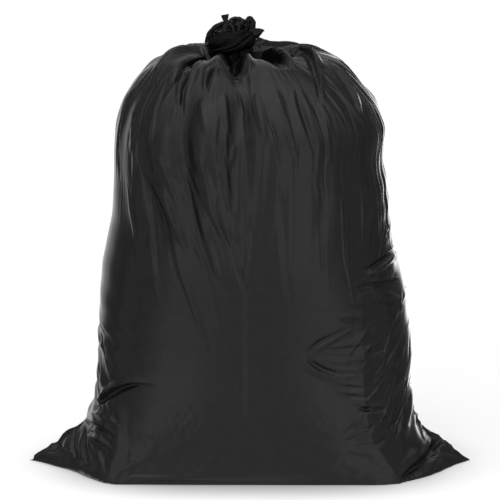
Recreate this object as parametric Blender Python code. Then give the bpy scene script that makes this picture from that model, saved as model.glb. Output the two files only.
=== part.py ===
"""Full bin bag: one blown tube of black polyethylene film, sealed straight across the bottom,
packed full, gathered at the neck and tied in a knot of its own film.

Metres, +Z up. The bag stands on z = 0 with the bottom seal along X and its front towards -Y.
"""

import math

import bmesh
import bpy
from mathutils import Matrix, Vector

# The film tube, pressed flat: its width is the distance between the two ears of the bottom seal.
LAY_FLAT_WIDTH = 0.914
EAR_REACH = LAY_FLAT_WIDTH / 2

# The packed bag.
FOOT_DEPTH = 0.402
BODY_DEPTH = 0.540
NECK_HEIGHT = 0.873
BAG_HEIGHT = 0.936
KNOT_RISE = BAG_HEIGHT - NECK_HEIGHT

# The neck and the knot sit a little to the left of the middle.
NECK_X = -0.037
NECK_WIDTH = 0.104
NECK_DEPTH = 0.074

# The loft: points round each ring, and rings from one station to the next.
RING_POINTS = 72
RINGS_PER_STATION = 2

# Pleats that fan out from the neck: (how many round the bag, depth as a share of the radius, turn).
PLEATS = ((11, 0.030, 0.4), (17, 0.026, 1.9), (29, 0.014, 0.9))

# Stations from the floor to the top of the knot, each as height, half width, half depth, squareness
# (2 is an ellipse), reach of the ear past the body, middle along X, and strength of the pleats.
FOOT = FOOT_DEPTH / 2
BELLY = BODY_DEPTH / 2
NECK_A = NECK_WIDTH / 2
NECK_B = NECK_DEPTH / 2
STATIONS = (
    (0.000, 0.288, FOOT, 8.0, EAR_REACH - 0.288, 0.000, 0.00),
    (0.012, 0.291, FOOT + 0.004, 7.0, 0.152, 0.000, 0.00),
    (0.045, 0.304, FOOT + 0.012, 5.0, 0.096, 0.000, 0.02),
    (0.085, 0.318, FOOT + 0.020, 4.0, 0.036, 0.001, 0.04),
    (0.135, 0.324, FOOT + 0.032, 3.3, 0.013, 0.002, 0.04),
    (0.230, 0.325, BELLY - 0.020, 2.7, 0.004, 0.006, 0.03),
    (0.345, 0.318, BELLY - 0.001, 2.5, 0.000, 0.006, 0.00),
    (0.470, 0.295, BELLY - 0.001, 2.2, 0.000, 0.003, 0.10),
    (0.600, 0.285, BELLY - 0.006, 2.2, 0.000, 0.002, 0.22),
    (0.700, 0.275, BELLY - 0.017, 2.2, 0.000, 0.000, 0.36),
    (0.775, 0.251, BELLY - 0.040, 2.1, 0.000, -0.006, 0.60),
    (0.830, 0.207, BELLY - 0.078, 2.0, 0.000, -0.010, 0.90),
    (0.862, 0.150, BELLY - 0.130, 2.0, 0.000, -0.018, 1.30),
    (NECK_HEIGHT - 0.001, 0.095, BELLY - 0.190, 2.0, 0.000, -0.028, 2.00),
    (NECK_HEIGHT + 0.001, NECK_A, NECK_B, 2.0, 0.000, NECK_X, 3.00),
    (NECK_HEIGHT + 0.013, NECK_A + 0.006, NECK_B + 0.005, 2.0, 0.000, NECK_X, 2.40),
    (NECK_HEIGHT + 0.033, NECK_A + 0.003, NECK_B + 0.001, 2.0, 0.000, NECK_X, 1.80),
    (BAG_HEIGHT - 0.013, NECK_A - 0.016, NECK_B - 0.012, 2.0, 0.000, NECK_X + 0.004, 1.80),
    (BAG_HEIGHT - 0.007, 0.012, 0.010, 2.0, 0.000, NECK_X + 0.005, 0.00),
)

# Loose ends of film that stand out of the knot: place from the neck's middle, half sizes, and tilt in
# degrees about Y. They are folded film, so each is a flattened, pointed lobe.
LOOSE_ENDS = {
    "left_lobe": ((-0.034, -0.006, 0.024), (0.028, 0.023, 0.019), 28),
    "upright_tab": ((-0.012, 0.004, KNOT_RISE - 0.016), (0.010, 0.014, 0.016), 0),
    "right_loop": ((0.042, 0.002, KNOT_RISE - 0.022), (0.013, 0.018, 0.019), -14),
    "pointed_flap": ((0.053, -0.010, 0.024), (0.016, 0.016, 0.017), 34),
}
LOBE_POINTS = 14
LOBE_RINGS = 8
LOBE_POINT_SHARPNESS = 0.45

FILM_COLOUR = (0.011, 0.011, 0.012, 1.0)
FILM_ROUGHNESS = 0.32


def catmull_rom(before, start, end, after, share):
    """A point on the smooth curve from start to end."""
    bend = 2 * before - 5 * start + 4 * end - after
    twist = 3 * start - before - 3 * end + after
    return start + 0.5 * share * ((end - before) + share * (bend + share * twist))


def loft_rings():
    """Every ring's values, read off smooth curves through the stations."""
    last = len(STATIONS) - 1
    for index in range(last):
        corners = [STATIONS[min(max(index + step, 0), last)] for step in (-1, 0, 1, 2)]
        for part in range(RINGS_PER_STATION):
            share = part / RINGS_PER_STATION
            yield [catmull_rom(*values, share) for values in zip(*corners)]
    yield list(STATIONS[last])


def pleat(angle, strength):
    """How far the film stands in from its outer form, as a share of the radius."""
    depth = sum(share * (1 - math.cos(count * angle + turn)) for count, share, turn in PLEATS)
    return 1 - strength * depth / 2


def ring_point(angle, station):
    """One point of a ring: a rounded box of film with a straight-sided ear at each end."""
    height, half_width, half_depth, squareness, ear, middle, strength = station
    power = 2 / squareness
    across = abs(math.sin(angle)) ** power
    along = abs(math.cos(angle)) ** power
    fold = pleat(angle, strength)
    x = math.copysign(half_width * along * fold + max(ear, 0) * (1 - across), math.cos(angle))
    y = math.copysign(half_depth * across * fold, math.sin(angle))
    return Vector((middle + x, y, height))


def film_body():
    """The bag from its flat foot to the top of the knot, as one closed loft."""
    shell = bmesh.new()
    turns = [2 * math.pi * point / RING_POINTS for point in range(RING_POINTS)]
    rings = [[shell.verts.new(ring_point(turn, station)) for turn in turns] for station in loft_rings()]
    for lower, upper in zip(rings, rings[1:]):
        for point in range(RING_POINTS):
            following = (point + 1) % RING_POINTS
            shell.faces.new((lower[point], lower[following], upper[following], upper[point]))
    shell.faces.new(reversed(rings[0]))
    shell.faces.new(rings[-1])
    return shell


def loose_end(place, half_sizes, tilt):
    """A lobe of folded film, round where it leaves the knot and pointed at its free end."""
    lobe = bmesh.new()
    bmesh.ops.create_uvsphere(lobe, u_segments=LOBE_POINTS, v_segments=LOBE_RINGS, radius=1.0)
    for vertex in lobe.verts:
        narrowing = 1 - LOBE_POINT_SHARPNESS * max(vertex.co.z, 0)
        vertex.co.x *= narrowing
        vertex.co.y *= narrowing
    size = Matrix.Diagonal((*half_sizes, 1))
    lean = Matrix.Rotation(math.radians(tilt), 4, "Y")
    seat = Matrix.Translation(Vector((NECK_X, 0, NECK_HEIGHT)) + Vector(place))
    bmesh.ops.transform(lobe, matrix=seat @ lean @ size, verts=lobe.verts)
    return lobe


def black_film():
    """Black polyethylene film, satin to glossy."""
    material = bpy.data.materials.new("black_polyethylene_film")
    material.use_nodes = True
    surface = material.node_tree.nodes["Principled BSDF"]
    surface.inputs["Base Color"].default_value = FILM_COLOUR
    surface.inputs["Roughness"].default_value = FILM_ROUGHNESS
    surface.inputs["Metallic"].default_value = 0.0
    return material


def make_object(name, shell, material):
    """Put a modelled shape in the scene as an object."""
    mesh = bpy.data.meshes.new(name)
    shell.to_mesh(mesh)
    shell.free()
    mesh.materials.append(material)
    mesh.shade_smooth()
    piece = bpy.data.objects.new(name, mesh)
    bpy.context.scene.collection.objects.link(piece)
    return piece


def join_on(bag, addition):
    """Make an addition part of the bag's one solid."""
    addition.hide_render = True
    addition.display_type = "WIRE"
    union = bag.modifiers.new(addition.name, "BOOLEAN")
    union.operation = "UNION"
    union.object = addition


for existing in list(bpy.data.objects):
    bpy.data.objects.remove(existing)

film = black_film()
bin_bag = make_object("bin_bag", film_body(), film)
for end_name, (place, half_sizes, tilt) in LOOSE_ENDS.items():
    join_on(bin_bag, make_object(end_name, loose_end(place, half_sizes, tilt), film))
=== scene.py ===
"""A full black bin bag, gathered at the neck and tied in a knot of its own film."""

import math

import bmesh
import bpy
import numpy as np
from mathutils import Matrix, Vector


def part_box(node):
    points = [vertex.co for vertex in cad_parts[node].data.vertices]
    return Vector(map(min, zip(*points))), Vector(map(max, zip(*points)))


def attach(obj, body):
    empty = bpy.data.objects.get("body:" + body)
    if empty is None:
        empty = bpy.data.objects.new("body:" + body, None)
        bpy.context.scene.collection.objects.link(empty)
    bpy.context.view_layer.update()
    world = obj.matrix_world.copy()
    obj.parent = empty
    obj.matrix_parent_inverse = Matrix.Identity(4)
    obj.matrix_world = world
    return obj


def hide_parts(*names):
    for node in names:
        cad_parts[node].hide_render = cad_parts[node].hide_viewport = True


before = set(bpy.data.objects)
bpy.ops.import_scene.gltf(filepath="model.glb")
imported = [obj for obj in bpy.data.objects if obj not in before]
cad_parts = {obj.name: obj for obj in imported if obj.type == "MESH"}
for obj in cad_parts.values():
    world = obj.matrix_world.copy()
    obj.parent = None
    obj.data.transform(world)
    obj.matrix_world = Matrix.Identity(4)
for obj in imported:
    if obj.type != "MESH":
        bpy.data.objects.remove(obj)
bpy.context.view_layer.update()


# --------------------------------------------------------------------
# The bag. A blown tube of low-density polyethylene film, pressed flat and heat-sealed straight
# across its end. Filled and stood up, the seal lies under the foot and leaves an ear at each
# side; the tube's spare girth is taken up in pleats that run down from the tied neck.
# --------------------------------------------------------------------

# The film: its width pressed flat, which is the distance between the two ears, and its length from
# the seal to the neck. Then the middle of the tied neck, and half the depth of the foot.
LOW, HIGH = (Vector(corner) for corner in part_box("bin_bag"))
LAY_FLAT = HIGH.x - LOW.x
FILM_TO_NECK = 1.225
NECK = np.array((-0.037, 0.0, 0.933 * HIGH.z))
FOOT = 0.201

# Height, half width, half depth, squareness (2 is an ellipse), reach of the ear, middle along X.
STANDING = np.array((
    (0.000, 0.288, FOOT, 11.0, 0.169, 0.006),
    (0.012, 0.291, FOOT + 0.002, 8.0, 0.150, 0.004),
    (0.045, 0.304, FOOT + 0.005, 5.0, 0.096, 0.003),
    (0.085, 0.318, FOOT + 0.010, 4.0, 0.036, 0.002),
    (0.135, 0.324, FOOT + 0.018, 3.3, 0.013, 0.003),
    (0.230, 0.325, 0.225, 2.7, 0.004, 0.006),
    (0.345, 0.318, 0.240, 2.5, 0.000, 0.006),
    (0.470, 0.298, 0.255, 2.4, 0.000, 0.003),
    (0.600, 0.285, 0.260, 2.4, 0.000, 0.002),
    (0.700, 0.275, 0.250, 2.3, 0.000, 0.000),
    (0.775, 0.252, 0.228, 2.2, 0.000, -0.006),
    (0.830, 0.214, 0.192, 2.1, 0.000, -0.010),
    (0.862, 0.165, 0.140, 2.0, 0.000, -0.020),
    (NECK[2] - 0.002, 0.095, 0.080, 2.0, 0.000, -0.028),
    (NECK[2] + 0.002, 0.046, 0.034, 2.0, 0.000, NECK[0]),
))
# Share of the girth that is spare, by height: none low down, where the load fills the tube. From
# FITTED_ABOVE to the last height here, the girth of the film settles how deep the bag is.
SPARE_HEIGHTS = (0.00, 0.30, 0.45, 0.60, 0.72)
SPARE_GIRTH = (0.000, 0.004, 0.012, 0.026, 0.055)
FITTED_ABOVE = 0.2
DEPTH_RANGE = (0.1, 0.4)
HALVINGS = 24

# The grid of film, and the points and rings that give its outer form.
COLUMNS = 240
ROWS = 136
PROFILE_POINTS = 500
FORM_RINGS = 420


def smooth_curve(values, count):
    """So many points of a Catmull-Rom curve through rows of values, evenly spread from row to row."""
    values = np.array(values, float)
    last = len(values) - 1
    at = np.linspace(0, len(values) - 1.0001, count)
    index = at.astype(int)
    share = (at - index)[:, None]
    before, start, end, after = (values[np.clip(index + step, 0, last)] for step in (-1, 0, 1, 2))
    bend = 2 * before - 5 * start + 4 * end - after
    twist = 3 * start - before - 3 * end + after
    return start + 0.5 * share * ((end - before) + share * (bend + share * twist))


OUTLINE_POINTS = 720


def outline(station):
    """The film's outline at one height: a rounded box with a straight-sided ear at each end."""
    height, half_width, half_depth, squareness, ear, middle = station
    turn = np.linspace(-np.pi, np.pi, OUTLINE_POINTS + 1)
    across = np.abs(np.sin(turn)) ** (2 / squareness)
    along = np.abs(np.cos(turn)) ** (2 / squareness)
    x = middle + np.sign(np.cos(turn)) * (half_width * along + max(ear, 0) * (1 - across))
    y = np.sign(np.sin(turn)) * half_depth * across
    return np.stack([x, y, np.full_like(x, height)], 1)


def lengths_along(points):
    """Distance from the first point, along a line of points."""
    return np.concatenate([[0], np.cumsum(np.linalg.norm(np.diff(points, axis=0), axis=1))])


def waves(along, around, count, fast_along, fast_around, seed):
    """Smooth uneven waves over the film, closed around the tube, about 1 high."""
    pick = np.random.default_rng(seed)
    total = np.zeros(np.broadcast(along, around).shape)
    for _ in range(count):
        turns = round(pick.uniform(-1, 1) * fast_around)
        climb = pick.uniform(-1, 1) * fast_along
        total += np.cos(2 * np.pi * (climb * along + turns * around) + pick.uniform(0, 2 * np.pi))
    return total * (2 / count) ** 0.5


def fit_depth(station, spare):
    """The half depth at which the outline takes up the film's girth but for the spare share."""
    shallow, deep = DEPTH_RANGE
    for _ in range(HALVINGS):
        trial = np.array(station)
        trial[2] = (shallow + deep) / 2
        if lengths_along(outline(trial))[-1] * (1 + spare) > 2 * LAY_FLAT:
            deep = trial[2]
        else:
            shallow = trial[2]
    return shallow


for station in STANDING:
    if FITTED_ABOVE < station[0] < SPARE_HEIGHTS[-1]:
        station[2] = fit_depth(station, np.interp(station[0], SPARE_HEIGHTS, SPARE_GIRTH))

profile = smooth_curve(STANDING, PROFILE_POINTS)
climb = FOOT + lengths_along(profile[:, (2, 0)])
around = np.arange(COLUMNS) / COLUMNS
seal_x = np.where(around < 0.5, 2 * around - 0.5, 1.5 - 2 * around) * LAY_FLAT

# The outer form, as rings from the seal under the foot to the neck.
rings = []
for length in np.linspace(0, climb[-1], FORM_RINGS):
    ring = outline([np.interp(length, climb, column) for column in profile.T])
    reach = lengths_along(ring)
    ring = np.stack([np.interp(around * reach[-1], reach, axis) for axis in ring.T], 1)
    if length < FOOT:
        share = length / FOOT
        ring[:, 0] += (seal_x - ring[:, 0]) * (1 - share)
        ring[:, 1] *= share
    rings.append(ring)
form = np.array(rings)

# The film lies on that form with its length shared out evenly up each line of the tube.
film_lengths = np.linspace(0, FILM_TO_NECK, ROWS + 1)
standing = np.zeros((ROWS + 1, COLUMNS, 3))
for column in range(COLUMNS):
    reach = lengths_along(form[:, column])
    for axis in range(3):
        standing[:, column, axis] = np.interp(
            film_lengths * reach[-1] / FILM_TO_NECK, reach, form[:, column, axis])
girth = np.linalg.norm(np.roll(standing, -1, 1) - standing, axis=2).sum(1)


# The pleats: how many there are, which draw their widths come from and how uneven these are, how far
# they wander and turn on their way up, how far and where they lean at the front, how deep a ring of
# them and a single one may be, and how high above the floor they begin.
PLEATS = 26
PLEAT_DRAW = 12
PLEAT_VARIETY = 0.5
PLEAT_WANDER = 0.10
NECK_TWIST = 0.04
FRONT_LEAN = 0.08
LEAN_MIDDLE = 0.16
LEAN_SPREAD = 0.08
STEADY_PLEAT = 0.030
DEEPEST_PLEAT = 0.034
PLEATED_ABOVE = 0.12
# Small crimps cross the sides of the bag, above the film that lies on the floor.
CRIMP_DEPTH = 0.003
CRIMPED_ABOVE = 0.03
FLOOR_GAP = 0.0015


def share_of(value, start, span):
    """How far a value has gone from start over a span, from 0 to 1; a span below 0 counts downwards."""
    return np.clip((value - start) / span, 0, 1)


def outward(shape):
    """The direction out of the tube at each point of a grid of rings."""
    climb = np.gradient(shape, axis=0)
    turn = np.roll(shape, -1, 1) - np.roll(shape, 1, 1)
    out = np.cross(turn, climb)
    return out / (np.linalg.norm(out, axis=2)[..., None] + 1e-9)


def pleat_height(spare_ratio):
    """Height of a pleat over its width, for film that is spare_ratio times as long as its ground."""
    ratio = np.linspace(0, 2.6, 400)
    turn = np.linspace(0, 2 * np.pi, 200)
    stretch = np.sqrt(1 + (2 * np.pi * ratio[:, None] * np.cos(turn)) ** 2).mean(axis=1)
    return np.interp(spare_ratio, stretch, ratio)


pick = np.random.default_rng(PLEAT_DRAW)
pleat_widths = np.exp(pick.normal(0, PLEAT_VARIETY, PLEATS))
pleat_edges = np.concatenate([[0], np.cumsum(pleat_widths) / pleat_widths.sum()])
pleat_middles = (pleat_edges[1:] + pleat_edges[:-1]) / 2
up = (film_lengths / film_lengths[-1])[:, None]
wander = PLEAT_WANDER * waves(up, around, 16, 1.2, 3, 11) / 3 + NECK_TWIST
lean = share_of(up, 0.80, -0.35)
lean = FRONT_LEAN * lean ** 2 * (3 - 2 * lean) * np.exp(-((around - LEAN_MIDDLE) / LEAN_SPREAD) ** 2)
place = (around + wander * (1 - up) - lean) % 1.0
phase = 2 * np.pi * np.interp(place, pleat_edges, np.arange(PLEATS + 1))
broad = np.interp(place, pleat_middles, pleat_widths / pleat_widths.mean(), period=1.0)
height = pleat_height(np.maximum(2 * LAY_FLAT / girth, 1)) * girth / PLEATS
height = np.minimum(height, STEADY_PLEAT)[:, None] * broad * (1 + 0.8 * waves(up, around, 20, 3, 6, 5))
height = np.clip(height, 0, DEEPEST_PLEAT) * share_of(standing[..., 2], PLEATED_ABOVE, 0.06)
sides = np.abs(np.cos(2 * np.pi * around)) ** 6
crimp = CRIMP_DEPTH * sides * waves(up, around, 40, 26, 5, 9) * (standing[..., 2] > CRIMPED_ABOVE)
folds = height * (np.sin(phase) + 0.25 * np.sin(2 * phase + 1) - 0.35) + crimp
standing += outward(standing) * folds[..., None]
standing[..., 2] = np.maximum(standing[..., 2], FLOOR_GAP)
standing[0, :, 1] = 0

# The same film as it left the factory: a flat tube, whose two walls all but touch.
HALF_WALL_GAP = 1e-4
flat = np.zeros_like(standing)
flat[..., 0] = seal_x
flat[..., 1] = np.where(around < 0.5, -HALF_WALL_GAP, HALF_WALL_GAP)
flat[..., 2] = film_lengths[:, None]
flat[0, :, 1] = 0


def roll_film(shape, width, length):
    """Roll a grid of film into a tube of the given shape, with film measures as its UV map."""
    rows, columns = shape.shape[0] - 1, shape.shape[1]
    film = bmesh.new()
    measures = film.loops.layers.uv.new("film")
    bmesh.ops.create_grid(film, x_segments=columns, y_segments=rows, size=0.5)
    grid_place = film.verts.layers.float_vector.new("grid_place")
    for face in film.faces:
        for corner in face.loops:
            spot = corner.vert.co
            corner[measures].uv = ((spot.x + 0.5) * width, (spot.y + 0.5) * length)
    for vertex in film.verts:
        column = round((vertex.co.x + 0.5) * columns) % columns
        row = round((vertex.co.y + 0.5) * rows)
        vertex[grid_place] = (column, row, 0)
        vertex.co = shape[row, column]
    bmesh.ops.remove_doubles(film, verts=film.verts, dist=1e-6)
    return film, [(round(vertex[grid_place].x), round(vertex[grid_place].y)) for vertex in film.verts]


# The film settles on the load: tied at the neck, pressed to the floor by the foot, keeping the size
# it was cut to and the room its contents take up.
TIED_ROWS = 2
PRESSED_BELOW = 0.003
SETTLE_FRAMES = 24
FLOOR_SIDE = 4
FLOOR_SKIN = 0.001
FLOOR_FRICTION = 5
FILM_SKIN = 0.002
FILM_SETTINGS = {
    "quality": 5,
    "mass": 5e-5,
    "tension_stiffness": 40,
    "compression_stiffness": 20,
    "shear_stiffness": 16,
    "bending_stiffness": 0.05,
    "tension_damping": 5,
    "compression_damping": 5,
    "shear_damping": 5,
    "bending_damping": 0.5,
    "use_pressure": True,
    "uniform_pressure_force": 0,
    "use_pressure_volume": True,
    "pressure_factor": 300,
}


def add_shell(name, shell):
    """Put a modelled shell in the scene as an object."""
    mesh = bpy.data.meshes.new(name)
    shell.to_mesh(mesh)
    shell.free()
    thing = bpy.data.objects.new(name, mesh)
    bpy.context.scene.collection.objects.link(thing)
    return thing


film, places = roll_film(standing, 2 * LAY_FLAT, FILM_TO_NECK)
standing_volume = film.calc_volume(signed=True)
loose_bag = add_shell("standing_film", film)
loose_bag.shape_key_add(name="standing")
as_cut = loose_bag.shape_key_add(name="as_cut")
as_cut.data.foreach_set("co", np.array([flat[row, column] for column, row in places]).ravel())
held = loose_bag.vertex_groups.new(name="held")
held.add([i for i, (column, row) in enumerate(places)
          if row > ROWS - TIED_ROWS or standing[row, column, 2] < PRESSED_BELOW], 1, "REPLACE")

bpy.ops.mesh.primitive_plane_add(size=FLOOR_SIDE)
ground = bpy.context.object
ground.modifiers.new("ground", "COLLISION")
ground.collision.thickness_outer = FLOOR_SKIN
ground.collision.cloth_friction = FLOOR_FRICTION

cloth = loose_bag.modifiers.new("settle", "CLOTH")
for name, value in FILM_SETTINGS.items():
    setattr(cloth.settings, name, value)
cloth.settings.vertex_group_mass = held.name
cloth.settings.rest_shape_key = as_cut
cloth.settings.target_volume = standing_volume
cloth.collision_settings.distance_min = FILM_SKIN
cloth.point_cache.frame_end = SETTLE_FRAMES
for step in range(1, SETTLE_FRAMES + 1):
    bpy.context.scene.frame_set(step)
rested_bag = loose_bag.evaluated_get(bpy.context.evaluated_depsgraph_get())
settled = bpy.data.meshes.new_from_object(rested_bag)
bpy.data.objects.remove(loose_bag)
bpy.data.objects.remove(ground)

# The settled film, back on its grid. Both edges of the flat tube meet in the seal.
spots = np.empty(len(settled.vertices) * 3, np.float32)
settled.vertices.foreach_get("co", spots)
shape = np.zeros_like(standing)
for spot, (column, row) in zip(spots.reshape(-1, 3), places):
    shape[row, column] = spot
    if row == 0:
        shape[row, -column % COLUMNS] = spot
bpy.data.meshes.remove(settled)


def refine(shape):
    """Twice as many rows and columns, on smooth curves through the ones there are."""
    ahead, behind = np.roll(shape, -1, 1), np.roll(shape, 1, 1)
    between = (9 * (shape + ahead) - behind - np.roll(shape, -2, 1)) / 16
    wide = np.stack([shape, between], 2).reshape(len(shape), -1, 3)
    longer = np.concatenate([wide[:1], wide, wide[-1:]])
    between = (9 * (longer[1:-2] + longer[2:-1]) - longer[:-3] - longer[3:]) / 16
    tall = np.stack([wide[:-1], between], 1).reshape(-1, *wide.shape[1:])
    return np.concatenate([tall, wide[-1:]])


# The film lies at least this far above the floor.
SHEET_GAP = 0.001
shape = refine(shape)
shape[..., 2] = np.maximum(shape[..., 2], SHEET_GAP)


def iron(shape, strength, passes):
    """Smooth the film where strength is above 0, and leave the rest as it lies."""
    for _ in range(passes):
        longer = np.concatenate([shape[:1], shape, shape[-1:]])
        beside = np.roll(shape, 1, 1) + np.roll(shape, -1, 1)
        shape = shape + strength[..., None] * ((longer[:-2] + longer[2:] + beside) / 4 - shape)
    return shape


# The load holds the film taut over the outer shoulders, on the left down to the waist, and on the
# right below it.
TAUTNESS = 0.8
x, height = shape[..., 0], shape[..., 2]
shoulders = share_of(height, 0.62, 0.12) * share_of(np.abs(x - 0.02), 0.12, 0.06)
left_side = share_of(height, 0.30, 0.10) * share_of(-x, 0.19, 0.05)
right_side = share_of(height, 0.12, 0.06) * share_of(height, 0.45, -0.05) * share_of(x, 0.24, 0.04)
taut = np.maximum(np.maximum(shoulders, left_side), right_side)
shape = iron(shape, TAUTNESS * taut, 60)

# Height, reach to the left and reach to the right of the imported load.
LOAD = np.array((
    (0.000, 0.457, 0.457),
    (0.012, 0.450, 0.445),
    (0.030, 0.418, 0.424),
    (0.060, 0.379, 0.386),
    (0.085, 0.352, 0.354),
    (0.110, 0.341, 0.345),
    (0.140, 0.325, 0.341),
    (0.190, 0.319, 0.337),
    (0.240, 0.316, 0.338),
    (0.300, 0.314, 0.332),
    (0.380, 0.309, 0.320),
    (0.430, 0.305, 0.309),
    (0.455, 0.300, 0.297),
    (0.520, 0.285, 0.290),
    (0.590, 0.280, 0.284),
    (0.650, 0.279, 0.272),
    (0.710, 0.275, 0.279),
    (0.760, 0.262, 0.260),
    (0.800, 0.243, 0.226),
    (0.835, 0.216, 0.204),
    (0.855, 0.192, 0.176),
    (0.870, 0.160, 0.150),
))


def reach_by_height(shape, sign, heights):
    """How far the film reaches to one side at each height, smoothed so that its crimps stay."""
    level = np.clip(np.round(shape[..., 2] / heights[1]).astype(int), 0, len(heights) - 1)
    reach = np.zeros(len(heights))
    np.maximum.at(reach, level.ravel(), (sign * shape[..., 0]).ravel())
    filled = np.interp(heights, heights[reach > 0], reach[reach > 0])
    soft = np.exp(-np.linspace(-2, 2, 9) ** 2)
    return np.convolve(np.pad(filled, 4, "edge"), soft / soft.sum(), "valid")


HEIGHT_STEP = 0.01
heights = np.arange(0, NECK[2], HEIGHT_STEP)
fade = share_of(shape[..., 2], NECK[2], -0.03) * share_of(shape[..., 2], 0.002, 0.01)
for side, sign in ((1, -1), (2, 1)):
    ratio = np.interp(heights, LOAD[:, 0], LOAD[:, side]) / reach_by_height(shape, sign, heights)
    ratio = 1 + fade * (np.interp(shape[..., 2], heights, ratio) - 1)
    shape[..., 0] = np.where(sign * shape[..., 0] > 0, shape[..., 0] * ratio, shape[..., 0])

# The right shoulder lies a little lower than the left, behind the knot.
RIGHT_DROP = 0.014
right_top = share_of(shape[..., 0] - NECK[0], 0.03, 0.05) * share_of(shape[..., 2], 0.84, 0.03)
right_top *= 1 - 0.7 * share_of(shape[..., 0], 0.06, 0.06)
shape[..., 2] -= RIGHT_DROP * right_top * share_of(shape[..., 1], -0.10, 0.10)


def taper(along, widest):
    """A fold's strength along its length: nothing at both ends, full where it is widest."""
    rise = np.clip(np.minimum(along / widest, (1 - along) / (1 - widest)), 0, 1)
    return np.sin(np.pi / 2 * rise)


def from_neck(shape):
    """How far the film is from the middle of the neck, seen from above."""
    return np.hypot(shape[..., 0] - NECK[0], shape[..., 1] - NECK[1])


# The tied neck pulls the film down and in, most of all in front, so the knot stands over a dark
# recess.
SMOOTHNESS = 0.95
RECESS_DEPTH = 0.022
RECESS_RADIUS = 0.064
RECESS_SPREAD = 0.042
high_up = share_of(shape[..., 2], 0.78, 0.04)
shape = iron(shape, SMOOTHNESS * high_up * share_of(from_neck(shape), 0.095, -0.02), 60)
dip = np.exp(-((from_neck(shape) - RECESS_RADIUS) / RECESS_SPREAD) ** 2)
shape[..., 2] -= RECESS_DEPTH * dip * share_of(shape[..., 1], 0.03, -0.06) * high_up


def scatter_creases(shape, count, seed, around_range, rise_range, turn_range, length_range, width_range,
                    depth_range, widest):
    """Heights of flat-sided creases in the film, each with a sharp crest and tapered to both ends."""
    pick = np.random.default_rng(seed)
    rows, columns = shape.shape[:2]
    ring = np.linalg.norm(np.roll(shape, -1, 1) - shape, axis=2).sum(1)[:, None]
    around = np.arange(columns) / columns
    rise = (np.arange(rows) / (rows - 1) * FILM_TO_NECK)[:, None]
    lift = np.zeros(shape.shape[:2])
    for _ in range(count):
        middle = pick.uniform(*around_range)
        height = pick.uniform(*rise_range)
        turn = np.radians(pick.uniform(*turn_range))
        length = pick.uniform(*length_range)
        width = pick.uniform(*width_range)
        depth = pick.uniform(*depth_range)
        skew = pick.uniform(0.25, 0.75)
        sideways = ((around - middle + 0.5) % 1 - 0.5) * ring
        along = ((rise - height) * np.cos(turn) + sideways * np.sin(turn)) / length + 0.5
        gap = sideways * np.cos(turn) - (rise - height) * np.sin(turn)
        strength = taper(along, widest)
        side = 2 * width * np.where(gap < 0, skew, 1 - skew) * (0.4 + 0.6 * strength)
        lift += depth * strength * np.clip(1 - np.abs(gap) / side, 0, 1)
    return lift


# Points along the line of a fold, and how often the row of places that it lies on is smoothed.
LINE_POINTS = 40
SEAT_PASSES = 16


def beside_line(shape, out, points, margin):
    """For the front film near a line of (x, z) points: which places, how far off, and how far along.

    Distances are positive on the left of the line as it is followed."""
    line = smooth_curve(points, LINE_POINTS)
    flat_shape, flat_out = shape.reshape(-1, 3), out.reshape(-1, 3)
    spread = flat_shape[:, (0, 2)]
    near = np.flatnonzero(((spread > line.min(0) - margin) & (spread < line.max(0) + margin)).all(1)
                          & (flat_out[:, 1] < 0.2) & (flat_shape[:, 1] < 0.02))
    spots = flat_shape[near]
    seats = [near[np.argmin(((spots[:, (0, 2)] - point) ** 2).sum(1))] for point in line]
    seat, seat_out = flat_shape[seats], flat_out[seats]
    for _ in range(SEAT_PASSES):
        seat[1:-1] = (seat[:-2] + 2 * seat[1:-1] + seat[2:]) / 4
        seat_out[1:-1] = (seat_out[:-2] + 2 * seat_out[1:-1] + seat_out[2:]) / 4
    across = np.cross(seat_out, np.gradient(seat, axis=0))
    across /= np.linalg.norm(across, axis=1)[:, None]
    nearest = np.linalg.norm(spots[:, None] - seat[None], axis=2).argmin(1)
    gap = ((spots - seat[nearest]) * across[nearest]).sum(1)
    return near, gap, nearest / (len(line) - 1)


def fold_film(shape, out, crest, section, widest):
    """Heights of a fold in the front film along a line of (x, z) points, with the section it has."""
    distances, lifts = np.array(section).T
    near, gap, along = beside_line(shape, out, crest, np.abs(distances).max() + 0.03)
    strength = taper(along, widest)
    lift = np.zeros(shape.shape[:2])
    lift.flat[near] = np.interp(gap / (0.4 + 0.6 * strength), distances, lifts) * strength
    return lift


# The pleats soften into broad folds under the knot and below the shoulders.
HANG_SMOOTHNESS = 0.6
front = share_of(shape[..., 1], 0.04, -0.08)
under_knot = front * share_of(shape[..., 2], 0.77, 0.04) * share_of(from_neck(shape), 0.045, 0.03)
shape = iron(shape, SMOOTHNESS * under_knot, 160)
hanging = share_of(shape[..., 2], 0.40, 0.1) * share_of(shape[..., 2], 0.84, -0.06)
shape = iron(shape, HANG_SMOOTHNESS * hanging * (0.3 + 0.7 * front), 22)

# The film above this height is the top of the bag.
TOP_ABOVE = 0.76


def near_plan_line(shape, points, margin):
    """For the film on top of the bag near a line of (x, y) points: places, distances, shares along."""
    line = smooth_curve(points, LINE_POINTS)
    spread = shape.reshape(-1, 3)
    beside = (spread[:, :2] > line.min(0) - margin) & (spread[:, :2] < line.max(0) + margin)
    near = np.flatnonzero((spread[:, 2] > TOP_ABOVE) & beside.all(1))
    gaps = np.linalg.norm(spread[near, None, :2] - line[None], axis=2)
    return near, gaps.min(1), gaps.argmin(1) / (len(line) - 1)


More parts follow.
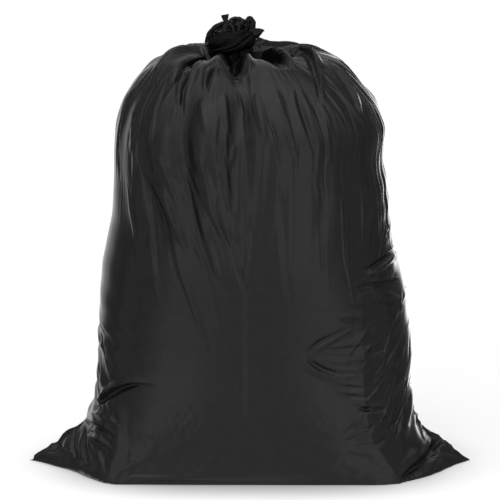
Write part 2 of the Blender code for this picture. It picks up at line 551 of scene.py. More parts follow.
# Welts and grooves round the recess, as (x, y) lines seen from above, each with its height and how
# far from the line a third of that is left.
WELTS = (
    # The lip of a leaf of film folded over to the right, and the hollow inside it.
    (((0.006, -0.010), (0.036, -0.028), (0.058, -0.060), (0.074, -0.100), (0.084, -0.145)), 0.028, 0.010),
    (((-0.006, -0.030), (0.022, -0.056), (0.046, -0.092), (0.066, -0.150)), -0.026, 0.015),
    # Bulges on both sides of the groove in the middle.
    (((-0.012, -0.055), (-0.008, -0.095), (-0.004, -0.130), (0.000, -0.170)), 0.018, 0.011),
    (((-0.058, -0.070), (-0.064, -0.105), (-0.070, -0.150)), 0.010, 0.015),
    (((-0.034, -0.040), (-0.031, -0.100), (-0.026, -0.190)), -0.018, 0.011),
    # The broad fold that comes over the left shoulder, and the hollow under it.
    (((-0.086, 0.020), (-0.130, -0.020), (-0.170, -0.070), (-0.195, -0.130)), 0.018, 0.018),
    (((-0.066, -0.030), (-0.096, -0.062), (-0.124, -0.105), (-0.150, -0.160)), -0.022, 0.012),
    # The edge of the right shoulder.
    (((0.050, 0.010), (0.090, -0.005), (0.125, -0.040), (0.146, -0.100)), 0.012, 0.010),
)
for points, height, width in WELTS:
    near, gap, along = near_plan_line(shape, points, 3 * width)
    shape.reshape(-1, 3)[near, 2] += height * np.exp(-(gap / width) ** 2) * taper(along, 0.4)

# The creases need a finer grid than the broad folds.
out = refine(outward(iron(shape, np.ones(shape.shape[:2]), 10)))
shape = refine(shape)

# Fine pleats round the shoulders; below them long ones that hang straight, and lean on the left of
# the front; and short ones that cross the sides, where the full bag bulges over its foot. Each row
# says how many, which draw, where round the tube, how far up the film, their turn in degrees from
# straight up, their length, width and height (below 0 is pressed in), and where they are widest.
CREASES = (
    (150, 3, (0, 1), (0.84, 1.10), (-14, 14), (0.06, 0.22), (0.004, 0.012), (-0.0034, 0.0030), 0.6),
    (34, 4, (0.07, 0.24), (0.62, 0.86), (-30, -10), (0.14, 0.34), (0.006, 0.018), (-0.0026, 0.0026), 0.6),
    (50, 5, (0.24, 0.48), (0.66, 0.98), (-4, 4), (0.12, 0.36), (0.004, 0.010), (-0.0020, 0.0024), 0.6),
    (90, 6, (0.52, 0.98), (0.56, 0.98), (-16, 16), (0.12, 0.34), (0.006, 0.016), (-0.0032, 0.0032), 0.6),
    (60, 7, (0.39, 0.60), (0.24, 0.66), (50, 120), (0.03, 0.12), (0.005, 0.014), (-0.0040, 0.0036), 0.5),
    (60, 9, (0.355, 0.43), (0.26, 0.52), (35, 110), (0.03, 0.09), (0.004, 0.009), (-0.0040, 0.0040), 0.5),
    (70, 8, (-0.10, 0.09), (0.22, 0.46), (50, 130), (0.03, 0.10), (0.005, 0.014), (-0.0036, 0.0030), 0.5),
)


def ridge(width, height):
    """A crest with flat sides; a negative height presses it in."""
    return ((-width, 0), (0, height), (width, 0))


def valley(width, depth):
    """A sharp hollow between two low banks."""
    return ((-1.8 * width, 0), (-0.9 * width, 0.35 * depth), (0, -depth), (0.9 * width, 0.35 * depth),
            (1.8 * width, 0))


def lip(width, height, side=1):
    """An edge that stands out over the film on one side: 1 hollows the right of the line, -1 the left."""
    step = ((-width, 0), (-0.006, -height), (-0.001, -0.6 * height), (0.001, height), (width, 0))
    return step if side > 0 else tuple((-distance, lift) for distance, lift in reversed(step))


# The folds that the eye picks out, each as the (x, z) line it follows over the front of the bag, its
# section and where along the line it is widest.
FOLDS = (
    # Creases that turn down from the hollow on the left.
    (((-0.100, 0.850), (-0.122, 0.830), (-0.134, 0.800), (-0.132, 0.750)), valley(0.010, 0.010), 0.4),
    (((-0.066, 0.850), (-0.080, 0.828), (-0.084, 0.800)), valley(0.009, 0.010), 0.4),
    # Short pleats below them, and to the right of the middle, with pointed lower ends.
    (((-0.052, 0.800), (-0.048, 0.760), (-0.040, 0.716)), ridge(0.012, 0.0045), 0.3),
    (((-0.096, 0.790), (-0.090, 0.752), (-0.078, 0.700)), ridge(0.013, 0.0045), 0.3),
    (((0.010, 0.800), (0.020, 0.756), (0.034, 0.700)), ridge(0.014, 0.005), 0.3),
    (((0.050, 0.806), (0.066, 0.752), (0.090, 0.676)), ridge(0.015, 0.006), 0.35),
    (((0.090, 0.806), (0.108, 0.750), (0.124, 0.690)), valley(0.012, 0.006), 0.35),
    (((0.136, 0.780), (0.150, 0.730), (0.158, 0.660)), ridge(0.013, 0.006), 0.35),
    # The edge of the right shoulder and the flap that stands off it.
    (((0.045, 0.878), (0.082, 0.875), (0.112, 0.870), (0.128, 0.850), (0.138, 0.812), (0.142, 0.770)),
     lip(0.018, 0.008), 0.5),
    (((0.150, 0.850), (0.185, 0.820), (0.212, 0.780), (0.222, 0.740)), ridge(0.014, 0.007), 0.5),
    # Long pleats that lean across the left of the front.
    (((-0.212, 0.650), (-0.178, 0.600), (-0.150, 0.545), (-0.120, 0.480)), ridge(0.016, 0.005), 0.35),
    (((-0.190, 0.690), (-0.150, 0.610), (-0.118, 0.540), (-0.084, 0.440)), ridge(0.014, 0.004), 0.5),
    (((-0.150, 0.700), (-0.112, 0.610), (-0.084, 0.520), (-0.056, 0.400)), ridge(0.016, 0.005), 0.45),
    (((-0.104, 0.690), (-0.078, 0.610), (-0.058, 0.530), (-0.036, 0.430)), ridge(0.014, 0.004), 0.5),
    (((-0.060, 0.700), (-0.046, 0.620), (-0.036, 0.540)), ridge(0.010, 0.004), 0.4),
    # The crease down the middle, from when the film was folded flat on its roll.
    (((-0.011, 0.720), (-0.011, 0.500), (-0.010, 0.300), (-0.009, 0.060)), ridge(0.006, 0.0016), 0.3),
    # The front corners of the load.
    (((0.224, 0.400), (0.226, 0.280), (0.228, 0.180), (0.244, 0.095), (0.290, 0.010)),
     ridge(0.030, 0.005), 0.75),
    (((-0.264, 0.190), (-0.264, 0.120), (-0.268, 0.060), (-0.284, 0.008)), ridge(0.024, 0.006), 0.7),
    # The waist on the right, and the wrinkles that fan out of it.
    (((0.214, 0.438), (0.250, 0.446), (0.300, 0.462)), valley(0.011, 0.005), 0.7),
    (((0.222, 0.424), (0.256, 0.436), (0.296, 0.452)), ridge(0.009, 0.006), 0.6),
    (((0.190, 0.408), (0.246, 0.414), (0.304, 0.404)), lip(0.012, 0.004), 0.6),
    (((0.214, 0.392), (0.262, 0.388), (0.308, 0.366)), ridge(0.012, 0.005), 0.6),
    (((0.196, 0.372), (0.240, 0.366), (0.300, 0.368)), valley(0.010, 0.003), 0.5),
    (((0.176, 0.346), (0.220, 0.338), (0.280, 0.340)), valley(0.012, 0.004), 0.5),
    # A long eye-shaped fold low on the right, with wrinkles behind it.
    (((0.112, 0.268), (0.136, 0.290), (0.168, 0.308), (0.206, 0.326)), lip(0.014, 0.0036, -1), 0.4),
    (((0.110, 0.266), (0.126, 0.248), (0.156, 0.232), (0.192, 0.226), (0.240, 0.232)),
     lip(0.015, 0.005, -1), 0.35),
    (((0.150, 0.284), (0.190, 0.282), (0.248, 0.290)), valley(0.008, 0.003), 0.5),
    (((0.146, 0.262), (0.190, 0.258), (0.240, 0.264)), ridge(0.010, 0.003), 0.6),
    (((0.152, 0.216), (0.190, 0.204), (0.240, 0.196)), valley(0.009, 0.004), 0.5),
    (((0.166, 0.196), (0.206, 0.184), (0.256, 0.180)), valley(0.008, 0.004), 0.5),
    (((0.206, 0.168), (0.240, 0.160), (0.290, 0.152)), lip(0.012, 0.004), 0.5),
    (((0.226, 0.146), (0.262, 0.134), (0.300, 0.128)), valley(0.008, 0.004), 0.5),
    (((0.240, 0.116), (0.280, 0.104), (0.330, 0.100)), ridge(0.010, 0.004), 0.5),
    # The arched fold over the left ear, and the crumpled film under it.
    (((-0.312, 0.140), (-0.300, 0.166), (-0.272, 0.190), (-0.236, 0.208), (-0.186, 0.209)),
     lip(0.018, 0.010), 0.35),
    (((-0.330, 0.116), (-0.300, 0.128), (-0.262, 0.118)), ridge(0.012, 0.008), 0.5),
    (((-0.342, 0.090), (-0.306, 0.102), (-0.270, 0.088)), valley(0.010, 0.008), 0.5),
    (((-0.336, 0.074), (-0.304, 0.080), (-0.270, 0.064)), ridge(0.010, 0.007), 0.5),
    # The ears: a sharp ridge from each tip up to the load, a deep fold across the root of each, and
    # short wrinkles where the film is drawn in over it.
    (((-0.450, 0.006), (-0.412, 0.036), (-0.376, 0.064), (-0.346, 0.086)), ridge(0.016, 0.006), 0.5),
    (((0.450, 0.006), (0.412, 0.034), (0.378, 0.062), (0.350, 0.086)), ridge(0.016, 0.006), 0.5),
    (((0.292, 0.003), (0.330, 0.018), (0.372, 0.036), (0.416, 0.056)), valley(0.017, 0.013), 0.5),
    (((0.300, 0.030), (0.330, 0.050), (0.368, 0.068)), ridge(0.012, 0.006), 0.5),
    (((0.340, 0.112), (0.352, 0.088), (0.356, 0.060)), ridge(0.009, 0.005), 0.5),
    (((0.356, 0.100), (0.374, 0.078), (0.380, 0.056)), valley(0.008, 0.004), 0.5),
    (((-0.340, 0.082), (-0.344, 0.052), (-0.326, 0.010)), valley(0.014, 0.006), 0.5),
    (((-0.362, 0.070), (-0.368, 0.048), (-0.362, 0.020)), valley(0.009, 0.005), 0.5),
    (((-0.330, 0.070), (-0.304, 0.044), (-0.286, 0.010)), ridge(0.010, 0.006), 0.5),
)
lift = sum(scatter_creases(shape, *crease) for crease in CREASES)
lift = lift + sum(fold_film(shape, out, *fold) for fold in FOLDS)
shape = shape + out * lift[..., None]

# The load squares the front of the foot: its corners, and the edges that run from them to the ears.
# Each is a place on the floor, how far off it is felt, and how far the film is drawn out there. All
# of them die out on the way up to PULL_HEIGHT.
FOOT_PULLS = (
    ((0.276, -0.200), 0.080, (0.018, -0.002)),
    ((0.365, -0.105), 0.100, (0.009, -0.005)),
    ((-0.272, -0.200), 0.070, (-0.012, -0.002)),
    ((-0.372, -0.100), 0.090, (0.007, 0.005)),
    ((-0.455, 0.000), 0.050, (-0.007, 0.000)),
)
PULL_HEIGHT = 0.09
low = np.clip(1 - shape[..., 2] / PULL_HEIGHT, 0, 1)
floor_plan = shape[..., :2].copy()
for place, reach, pull in FOOT_PULLS:
    nearness = np.clip(1 - np.linalg.norm(floor_plan - place, axis=2) / reach, 0, 1)
    shape[..., :2] += (low * nearness ** 2 * (3 - 2 * nearness))[..., None] * np.array(pull)
shape[..., 2] = np.maximum(shape[..., 2], SHEET_GAP)


def linear(code):
    """The linear colour of an sRGB hex code."""
    parts = [int(code[i:i + 2], 16) / 255 for i in (1, 3, 5)]
    return (*[p / 12.92 if p <= 0.04045 else ((p + 0.055) / 1.055) ** 2.4 for p in parts], 1)


def node(tree, kind, settings=None, **sockets):
    """Add a node with its settings; each socket takes a value or another node's output."""
    made = tree.nodes.new(kind)
    for name, value in (settings or {}).items():
        setattr(made, name, value)
    for name, value in sockets.items():
        key = int(name[1:]) if name[0] == "_" else name.replace("_", " ")
        if isinstance(value, bpy.types.NodeSocket):
            tree.links.new(value, made.inputs[key])
        else:
            made.inputs[key].default_value = value
    return made


# Black low-density polyethylene, blown: a deep black with a satin shine that turns to a bright
# rim where the film is seen edge on. Handling leaves it finely creased, and the blowing leaves
# faint lines along the tube.
FILM_BLACK = "#171716"
FILM_WORN = "#1c1c1b"
FILM_IOR = 1.51
SATIN_RANGE = (0.17, 0.23)
# How many cells each pattern has in a metre: creases from handling about 28 mm apart and ripples
# about 7 mm apart, both two to a cell; lines of the blowing die, over half a metre long and 5 mm
# apart, since the real ones, about 1 mm apart, are too fine to show; and pleats from the gathering
# 14 mm apart, eight times as long, that die out down the film.
HANDLING_CELLS = 18.0
RIPPLE_CELLS = 70.0
DIE_CELLS = (200.0, 1.5, 1.0)
GATHER_CELLS = (70.0, 9.0, 1.0)
GATHERED_FROM = 0.55
GATHERED_FULLY = 0.95

blown_polyethylene_film = bpy.data.materials.new("blown_polyethylene_film")
blown_polyethylene_film.use_nodes = True
tree = blown_polyethylene_film.node_tree
tree.nodes.clear()
measures = node(tree, "ShaderNodeUVMap", {"uv_map": "film"}).outputs["UV"]
place = node(tree, "ShaderNodeTexCoord").outputs["Object"]
# Creases and pleats are drawn as folded noise, so that they are sharp.
SHARP = {"noise_type": "RIDGED_MULTIFRACTAL", "normalize": False}
handled = node(tree, "ShaderNodeTexNoise", SHARP, Vector=place, Scale=HANDLING_CELLS, Detail=3.0,
               Roughness=0.45).outputs[0]
rippled = node(tree, "ShaderNodeTexNoise", Vector=place, Scale=RIPPLE_CELLS, Detail=2.0).outputs[0]
stretched = node(tree, "ShaderNodeMapping", Vector=measures, Scale=DIE_CELLS).outputs[0]
drawn = node(tree, "ShaderNodeTexNoise", Vector=stretched, Scale=1.0, Detail=1.0).outputs[0]
gathered = node(tree, "ShaderNodeMapping", Vector=measures, Scale=GATHER_CELLS).outputs[0]
gathered = node(tree, "ShaderNodeTexNoise", SHARP, Vector=gathered, Scale=1.0, Detail=2.0,
                Roughness=0.5).outputs[0]
up_film = node(tree, "ShaderNodeSeparateXYZ", Vector=measures).outputs[1]
gather = node(tree, "ShaderNodeMapRange", {"interpolation_type": "SMOOTHSTEP"}, Value=up_film,
              From_Min=GATHERED_FROM, From_Max=GATHERED_FULLY).outputs[0]
gathered = node(tree, "ShaderNodeMath", {"operation": "MULTIPLY"}, _0=gathered, _1=gather).outputs[0]
tone = node(tree, "ShaderNodeMapRange", Value=rippled, From_Min=0.35, From_Max=0.65).outputs[0]
colour = node(tree, "ShaderNodeMix", {"data_type": "RGBA"}, _0=tone, _6=linear(FILM_BLACK),
              _7=linear(FILM_WORN)).outputs[2]
satin = node(tree, "ShaderNodeMapRange", Value=drawn, From_Min=0.3, From_Max=0.7,
             To_Min=SATIN_RANGE[0], To_Max=SATIN_RANGE[1]).outputs[0]
# Each pattern stands out of the last one, by its strength and its height in metres.
relief = {}
for pattern, strength, rise in ((handled, 0.35, 0.0012), (rippled, 0.3, 0.0006),
                                (gathered, 0.6, 0.0014), (drawn, 0.25, 0.0002)):
    bump = node(tree, "ShaderNodeBump", Height=pattern, Strength=strength, Distance=rise, **relief)
    relief = {"Normal": bump.outputs[0]}
film_surface = node(tree, "ShaderNodeBsdfPrincipled", Base_Color=colour, Roughness=satin, IOR=FILM_IOR,
                    **relief)
node(tree, "ShaderNodeOutputMaterial", Surface=film_surface.outputs[0])


def make_piece(name, shape, width, length, material):
    """Roll a grid of film into a closed piece that rides on the bag's body, in place of its CAD solid."""
    film, _ = roll_film(shape, width, length)
    bmesh.ops.holes_fill(film, edges=[edge for edge in film.edges if edge.is_boundary], sides=0)
    bmesh.ops.recalc_face_normals(film, faces=film.faces)
    piece = add_shell(name, film)
    piece.data.materials.append(material)
    piece.data.shade_smooth()
    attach(piece, "root")
    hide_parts("bin_bag")
    return piece


bag = make_piece("bag_film", shape, 2 * LAY_FLAT, FILM_TO_NECK, blown_polyethylene_film)


# --------------------------------------------------------------------
# The knot. The tube above the load is gathered in the hand, turned once round itself and pulled
# down tight, so it reads as a thick rope of creased film lying on the neck, with the bag's mouth
# standing out of it in folded ends.
# --------------------------------------------------------------------


def rope(route, columns, rows, ridges, depth, twist, seed, crumple=0.0):
    """Sweep a ring of creased film along a route; it thins, swells and twists as it goes."""
    line = smooth_curve(route, rows + 1)
    centre = line[:, :3] + NECK
    ahead = np.gradient(centre, axis=0)
    ahead /= np.linalg.norm(ahead, axis=1)[:, None]
    side = np.cross(ahead, (0.02, 1.0, 0.05))
    side /= np.linalg.norm(side, axis=1)[:, None]
    for row in range(1, rows + 1):
        carried = side[row - 1] - ahead[row] * (side[row - 1] @ ahead[row])
        side[row] = carried / np.linalg.norm(carried)
    front = np.cross(ahead, side)
    # Uneven ridges that turn and sway along the rope, with finer folds in patches and lumps.
    pick = np.random.default_rng(seed)
    turn = np.arange(columns) / columns * 2 * np.pi
    run = np.linspace(0, 1, rows + 1)[:, None]
    widths = np.exp(pick.normal(0, 0.55, ridges))
    edges = np.concatenate([[0], np.cumsum(widths) / widths.sum()]) * 2 * np.pi
    sway = 0.16 * np.sin(2 * turn + 9 * run) + 0.10 * np.sin(3 * turn - 15 * run + 1)
    place = (turn + twist * run + sway) % (2 * np.pi)
    phase = np.interp(place, edges, np.arange(ridges + 1))
    middles = (edges[1:] + edges[:-1]) / 2
    broad = np.sqrt(np.interp(place, middles, widths / widths.mean(), period=2 * np.pi))
    fold = np.abs(np.sin(np.pi * phase)) ** 0.75
    fine = np.abs(np.sin(2.5 * np.pi * phase + 3 * np.sin(4 * run + turn))) ** 0.8
    patch = 0.5 + 0.5 * np.sin(11 * run + 3 * turn + 2)
    lumps = 1 + 0.07 * np.sin(13 * run + 2 * turn + 1) + 0.05 * np.sin(29 * run - 3 * turn + 2)
    reach = (1 - depth * broad * (1 - fold) - 0.07 * patch * (1 - fine)) * lumps
    reach = reach * (1 - crumple * np.abs(waves(2 * run, turn / (2 * np.pi), 12, 3, 6, seed + 50)))
    wide = line[:, 3:4] * np.cos(turn) * reach
    thick = line[:, 4:5] * np.sin(turn) * reach
    return centre[:, None] + side[:, None] * wide[..., None] + front[:, None] * thick[..., None]


SHADED_COPY_ROUGHNESS = 0.13


def shaded_film_copy(name, black, shine):
    """A darker, glossier copy of the film, even all over, without the haze and varied tone of the slack
    film: painted shade for the knot and the recess under it.
    """
    material = blown_polyethylene_film.copy()
    material.name = name
    tree = material.node_tree
    surface = next(n for n in tree.nodes if n.type == "BSDF_PRINCIPLED")
    for socket in ("Base Color", "Roughness"):
        tree.links.remove(surface.inputs[socket].links[0])
    surface.inputs["Base Color"].default_value = linear(black)
    surface.inputs["Roughness"].default_value = SHADED_COPY_ROUGHNESS
    surface.inputs["Specular IOR Level"].default_value = shine
    return material


# Darker copies of the film paint the shade in and under the knot: the deepest black for its rope and the
# recess under it, and a little less for the free ends of the knot, which shine more and carry small sharp
# glints.
darkest_shaded_film = shaded_film_copy("darkest_shaded_film", "#080808", 0.12)
dark_shaded_film = shaded_film_copy("dark_shaded_film", "#0e0e0e", 0.30)

# The measures in metres that the film patterns take a piece of the knot to have.
BUNCH_MEASURE = 0.3


def make_rope(name, route, material=dark_shaded_film, **form):
    """A closed rope or fold of film along a route, as a piece of the knot."""
    piece = make_piece(name, rope(route, **form), BUNCH_MEASURE, BUNCH_MEASURE, material)
    smooth = piece.modifiers.new("smooth", "SUBSURF")
    smooth.levels = smooth.render_levels = 1
    smooth.use_limit_surface = False
    return piece


# Each route runs from the neck: x, y, z from its middle, half width, half thickness.
ROPE_ROUTE = (
    (0.000, 0.000, -0.050, 0.046, 0.036),
    (0.000, 0.000, -0.022, 0.036, 0.030),
    (0.006, 0.002, 0.000, 0.028, 0.024),
    (0.026, 0.006, 0.012, 0.022, 0.020),
    (0.032, -0.010, 0.014, 0.022, 0.020),
    (0.018, -0.026, 0.011, 0.024, 0.020),
    (-0.008, -0.031, 0.005, 0.025, 0.020),
    (-0.032, -0.020, 0.001, 0.022, 0.020),
    (-0.037, 0.004, 0.006, 0.020, 0.019),
    (-0.022, 0.024, 0.016, 0.020, 0.018),
    (-0.002, 0.018, 0.026, 0.021, 0.017),
    (0.000, 0.000, 0.032, 0.021, 0.016),
    (0.002, -0.012, 0.026, 0.016, 0.012),
    (0.002, -0.016, 0.018, 0.008, 0.006),
)
# The rope is in the darkest copy of the film: painted shade.
make_rope("knot_rope", ROPE_ROUTE, darkest_shaded_film, columns=128, rows=170, ridges=5, depth=0.24,
          twist=6.0, seed=5, crumple=0.05)

# Where the film is drawn down to the knot, and along hollows that run out over the front, a sheet of the
# darkest copy of the film lies on it: painted shade for the recess under the knot. Each hollow follows a
# line of (x, y) points seen from above, with its half widths.
RECESS_SHADE_LINES = (
    (((-0.060, -0.020), (-0.090, -0.056), (-0.120, -0.098), (-0.150, -0.155)),
     (0.022, 0.021, 0.014, 0.002)),
    (((-0.034, -0.040), (-0.032, -0.080), (-0.030, -0.120), (-0.027, -0.165)),
     (0.034, 0.019, 0.012, 0.003)),
    (((-0.008, -0.020), (0.018, -0.050), (0.044, -0.090), (0.066, -0.146)),
     (0.018, 0.027, 0.022, 0.002)),
)
# How far the sheet of painted shade reaches all round the neck, how soft its edge is, how far it stands
# off the film, how far from its line a hollow may be felt, and the top rows of the film that it is cut
# from.
THROAT = 0.060
SHADE_SHEET_EDGE = 0.003
SHADE_SHEET_PROUD = 0.0016
SHADE_SHEET_MARGIN = 0.04
SHADE_SHEET_ROWS = 104

inside = THROAT - from_neck(shape)
for points, half_widths in RECESS_SHADE_LINES:
    near, gap, along = near_plan_line(shape, points, SHADE_SHEET_MARGIN)
    half = np.interp(along, np.linspace(0, 1, len(half_widths)), half_widths)
    inside.flat[near] = np.maximum(inside.flat[near], half - gap)
proud = SHADE_SHEET_PROUD * np.clip(inside / SHADE_SHEET_EDGE, -2, 1)
shade_sheet_shape = (shape + out * proud[..., None])[-SHADE_SHEET_ROWS:]
# The sheet of painted shade over the recess, in the darkest copy of the film.
make_piece("recess_shade_sheet", shade_sheet_shape, 2 * LAY_FLAT, SHADE_SHEET_ROWS / len(shape) * FILM_TO_NECK,
           darkest_shaded_film)

# The mouth of the bag, gathered into a bunch on top of the knot.
MOUTH_ROUTE = (
    (0.002, 0.002, 0.002, 0.036, 0.030),
    (0.006, 0.000, 0.014, 0.038, 0.036),
    (0.009, 0.000, 0.026, 0.034, 0.034),
    (0.009, 0.000, 0.038, 0.030, 0.030),
    (0.010, 0.000, 0.047, 0.025, 0.025),
    (0.010, 0.001, 0.054, 0.015, 0.015),
    (0.010, 0.002, 0.057, 0.003, 0.003),
)
make_rope("gathered_mouth", MOUTH_ROUTE, columns=200, rows=60, ridges=12, depth=0.26, twist=0.5, seed=9,
          crumple=0.12)

# Loops of slack film that stand out of the knot on both sides, a tab that stands up between them
# and a flap with a point.
LEFT_LOOP_ROUTE = (
    (-0.034, -0.006, -0.004, 0.016, 0.012),
    (-0.045, -0.008, 0.008, 0.012, 0.010),
    (-0.0465, -0.008, 0.018, 0.008, 0.009),
    (-0.0405, -0.008, 0.030, 0.0058, 0.008),
    (-0.031, -0.006, 0.0385, 0.0058, 0.007),
    (-0.018, -0.002, 0.042, 0.007, 0.007),
    (-0.006, 0.000, 0.040, 0.008, 0.008),
)
make_rope("left_loop", LEFT_LOOP_ROUTE, columns=96, rows=56, ridges=4, depth=0.22, twist=1.2, seed=14,
          crumple=0.08)

TAB_ROUTE = (
    (-0.010, -0.004, 0.032, 0.008, 0.006),
    (-0.012, -0.006, 0.046, 0.0055, 0.003),
    (-0.0135, -0.007, 0.055, 0.0065, 0.0016),
    (-0.014, -0.008, 0.061, 0.0085, 0.001),
    (-0.0142, -0.008, 0.0625, 0.0092, 0.0008),
)
make_rope("upright_tab", TAB_ROUTE, columns=64, rows=28, ridges=3, depth=0.25, twist=0.3, seed=21)

RIGHT_LOOP_ROUTE = (
    (0.020, 0.000, 0.024, 0.012, 0.010),
    (0.029, -0.002, 0.038, 0.0095, 0.009),
    (0.0335, -0.003, 0.0495, 0.008, 0.0075),
    (0.0385, -0.004, 0.0525, 0.007, 0.007),
    (0.0415, -0.004, 0.045, 0.008, 0.008),
    (0.039, -0.004, 0.034, 0.010, 0.009),
    (0.032, -0.004, 0.022, 0.011, 0.010),
)
make_rope("right_loop", RIGHT_LOOP_ROUTE, columns=72, rows=56, ridges=4, depth=0.22, twist=1.4, seed=33,
          crumple=0.08)

FLAP_ROUTE = (
    (0.026, -0.010, 0.016, 0.014, 0.012),
    (0.040, -0.014, 0.022, 0.013, 0.008),
    (0.052, -0.016, 0.027, 0.010, 0.0035),
    (0.061, -0.016, 0.030, 0.005, 0.0016),
    (0.0665, -0.016, 0.0305, 0.0007, 0.0006),
)
make_rope("pointed_flap", FLAP_ROUTE, columns=64, rows=32, ridges=3, depth=0.28, twist=0.5, seed=41)


# --------------------------------------------------------------------
# The studio: a white floor that keeps the bag's shadow, deepened by painted shade round its foot, a soft
# overhead light and a plain surround that is brighter behind the bag, so that its edges catch the light.
# --------------------------------------------------------------------

FLOOR_RADIUS = 1.3

floor_disc = bmesh.new()
bmesh.ops.create_circle(floor_disc, cap_ends=True, segments=96, radius=FLOOR_RADIUS)
floor = add_shell("floor", floor_disc)

# White matt paint. To the eye it is a darker paint that glows, so that the open floor is as white as the
# surround. The glow fades by ambient occlusion in a band round the bag's foot: a painted contact shadow
# on top of the real shadow that the lamps cast under the bag.
FLOOR_WHITE = "#f0f0f0"
SHADED_SHARE = 0.52
FLOOR_GLOW = 0.66
CONTACT_REACH = 0.13
CONTACT_SHARPNESS = 2.0
# Reflections in the film see the floor only this near the middle, and the surround past that.
REFLECTED_TO = 0.20
REFLECTED_END = 0.28

painted_floor = bpy.data.materials.new("painted_floor")
painted_floor.use_nodes = True
tree = painted_floor.node_tree
tree.nodes.clear()
ray = node(tree, "ShaderNodeLightPath")
shaded = (*[SHADED_SHARE * part for part in linear(FLOOR_WHITE)[:3]], 1)
paint = node(tree, "ShaderNodeMix", {"data_type": "RGBA"}, _0=ray.outputs["Is Camera Ray"],
             _6=linear(FLOOR_WHITE), _7=shaded).outputs[2]
paint = node(tree, "ShaderNodeBsdfDiffuse", Color=paint).outputs[0]
# Ambient occlusion takes the glow away near the bag's foot: a painted contact shadow.
open_floor = node(tree, "ShaderNodeAmbientOcclusion", Distance=CONTACT_REACH).outputs["AO"]
open_floor = node(tree, "ShaderNodeMath", {"operation": "POWER"}, _0=open_floor,
                  _1=CONTACT_SHARPNESS).outputs[0]
seen = node(tree, "ShaderNodeMath", {"operation": "MULTIPLY"}, _0=ray.outputs["Is Camera Ray"],
            _1=open_floor).outputs[0]
seen = node(tree, "ShaderNodeMath", {"operation": "MULTIPLY"}, _0=seen, _1=FLOOR_GLOW).outputs[0]
glow = node(tree, "ShaderNodeEmission", Color=(1, 1, 1, 1), Strength=seen).outputs[0]
lit = node(tree, "ShaderNodeAddShader", _0=paint, _1=glow).outputs[0]
spot = node(tree, "ShaderNodeTexCoord").outputs["Object"]
away = node(tree, "ShaderNodeVectorMath", {"operation": "LENGTH"}, _0=spot).outputs["Value"]
far = node(tree, "ShaderNodeMapRange", {"interpolation_type": "SMOOTHSTEP"}, Value=away,
           From_Min=REFLECTED_TO, From_Max=REFLECTED_END).outputs[0]
far_gloss = node(tree, "ShaderNodeMath", {"operation": "MULTIPLY"}, _0=ray.outputs["Is Glossy Ray"],
                 _1=far).outputs[0]
beyond = node(tree, "ShaderNodeBsdfTransparent").outputs[0]
shown = node(tree, "ShaderNodeMixShader", _0=far_gloss, _1=lit, _2=beyond).outputs[0]
node(tree, "ShaderNodeOutputMaterial", Surface=shown)
floor.data.materials.append(painted_floor)

# The plain walls of the surround, the black flags in it, and how far the two soft boxes are turned
# from straight in front. A brightness of 1 is white.
WALLS = 0.42
FLAGS = 0.13
SOFTBOX_TURN = math.radians(27)

surround = bpy.data.worlds.new("surround")
bpy.context.scene.world = surround
surround.use_nodes = True
tree = surround.node_tree
tree.nodes.clear()
toward = node(tree, "ShaderNodeTexCoord").outputs["Generated"]
across, back, high = node(tree, "ShaderNodeSeparateXYZ", Vector=toward).outputs
level_way = node(tree, "ShaderNodeVectorMath", {"operation": "MULTIPLY"}, _0=toward, _1=(1, 1, 0))
level_way = node(tree, "ShaderNodeVectorMath", {"operation": "NORMALIZE"}, _0=level_way.outputs[0])
sideways = node(tree, "ShaderNodeSeparateXYZ", Vector=level_way.outputs[0]).outputs[0]
sideways = node(tree, "ShaderNodeMath", {"operation": "ABSOLUTE"}, _0=sideways).outputs[0]
facing_left, facing_right = (
    node(tree, "ShaderNodeVectorMath", {"operation": "DOT_PRODUCT"}, _0=level_way.outputs[0],
         _1=(math.sin(turn), -math.cos(turn), 0.0)).outputs["Value"]
    for turn in (-SOFTBOX_TURN, SOFTBOX_TURN))

# Each part of the surround as its brightness and its limits: the share of a direction that is
# measured, where the part begins, where it is full, and how much of it stays beyond the limit.
behind = (
    # The soft light overhead, and the dimmer sides.
    (0.80, ((high, 0.30, 0.95, 0), (back, 0.60, 0.00, 0))),
    (0.26, ((sideways, 0.70, 0.95, 0),)),
    # The white cards behind the bag, on the left and on the right, and the black flags beside them.
    (0.82, ((back, 0.62, 0.80, 0), (across, -0.05, -0.15, 0), (high, 0.20, 0.04, 0))),
    (2.40, ((back, 0.84, 0.94, 0), (across, -0.05, 0.05, 0), (high, 0.20, 0.04, 0))),
    (FLAGS, ((back, 0.05, 0.35, 0), (sideways, 0.25, 0.55, 0))),
)
in_front = (
    # The left and the right soft box.
    (0.62, ((facing_left, 0.945, 0.985, 0), (high, 0.50, 0.10, 0.45), (high, -0.60, -0.30, 0.30))),
    (0.66, ((facing_right, 0.945, 0.985, 0), (high, 0.50, 0.10, 0.45), (high, -0.60, -0.30, 0.30))),
)


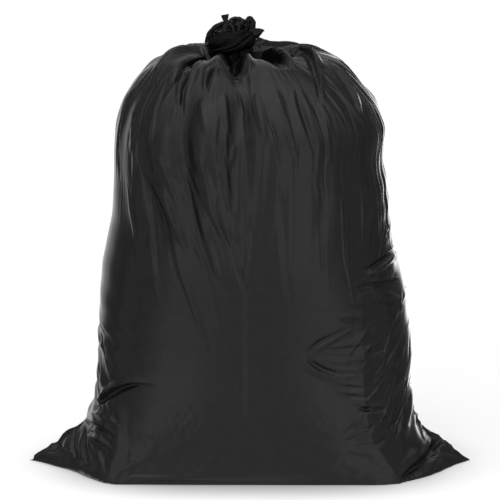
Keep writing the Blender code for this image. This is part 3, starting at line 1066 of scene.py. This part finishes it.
def add_parts(level, parts):
    """The brightness of the surround with more parts in it, each within its limits."""
    for brightness, limits in parts:
        part = brightness - WALLS
        for direction, begins, full, beyond in limits:
            share = node(tree, "ShaderNodeMapRange", {"interpolation_type": "SMOOTHSTEP"}, Value=direction,
                         From_Min=begins, From_Max=full, To_Min=beyond).outputs[0]
            part = node(tree, "ShaderNodeMath", {"operation": "MULTIPLY"}, _0=part, _1=share).outputs[0]
        level = node(tree, "ShaderNodeMath", {"operation": "ADD"}, _0=level, _1=part).outputs[0]
    return level


level = add_parts(WALLS, behind)
level = node(tree, "ShaderNodeMath", {"operation": "MAXIMUM"}, _0=level, _1=FLAGS).outputs[0]
level = add_parts(level, in_front)
# Seen directly, the surround is plain white.
ray = node(tree, "ShaderNodeLightPath")
strength = node(tree, "ShaderNodeMix", _0=ray.outputs["Is Camera Ray"], _2=level, _3=1.0).outputs[0]
plain = node(tree, "ShaderNodeBackground", Color=(1, 1, 1, 1), Strength=strength)
node(tree, "ShaderNodeOutputWorld", Surface=plain.outputs[0])

# A wide soft lamp above the bag, a little to the left and in front.
LAMP_SIZE = 2.6
LAMP_POWER = 55
LAMP_PLACE = Vector((-0.5, -0.9, 3.2))
LAMP_AIM = Vector((0.0, 0.0, 0.4))

lamp = bpy.data.lights.new("overhead", "AREA")
lamp.shape = "DISK"
lamp.size = LAMP_SIZE
lamp.energy = LAMP_POWER
lamp_object = bpy.data.objects.new("overhead", lamp)
lamp_object.location = LAMP_PLACE
lamp_object.rotation_euler = (LAMP_AIM - LAMP_PLACE).to_track_quat("-Z", "Y").to_euler()
lamp_object.visible_glossy = False
bpy.context.scene.collection.objects.link(lamp_object)


# --------------------------------------------------------------------
# The camera, at about shoulder height and five and a half metres from the bag.
# --------------------------------------------------------------------

EYE = Vector((0.0, -5.4, 1.42))
AIM = Vector((0.0, 0.0, 0.448))
SENSOR_WIDTH = 36
LENS = 191

camera_data = bpy.data.cameras.new("camera")
camera_data.sensor_width = SENSOR_WIDTH
camera_data.lens = LENS
camera = bpy.data.objects.new("camera", camera_data)
camera.location = EYE
camera.rotation_euler = (AIM - EYE).to_track_quat("-Z", "Y").to_euler()
bpy.context.scene.collection.objects.link(camera)
bpy.context.scene.camera = camera
bpy.context.scene.view_settings.view_transform = "Standard"
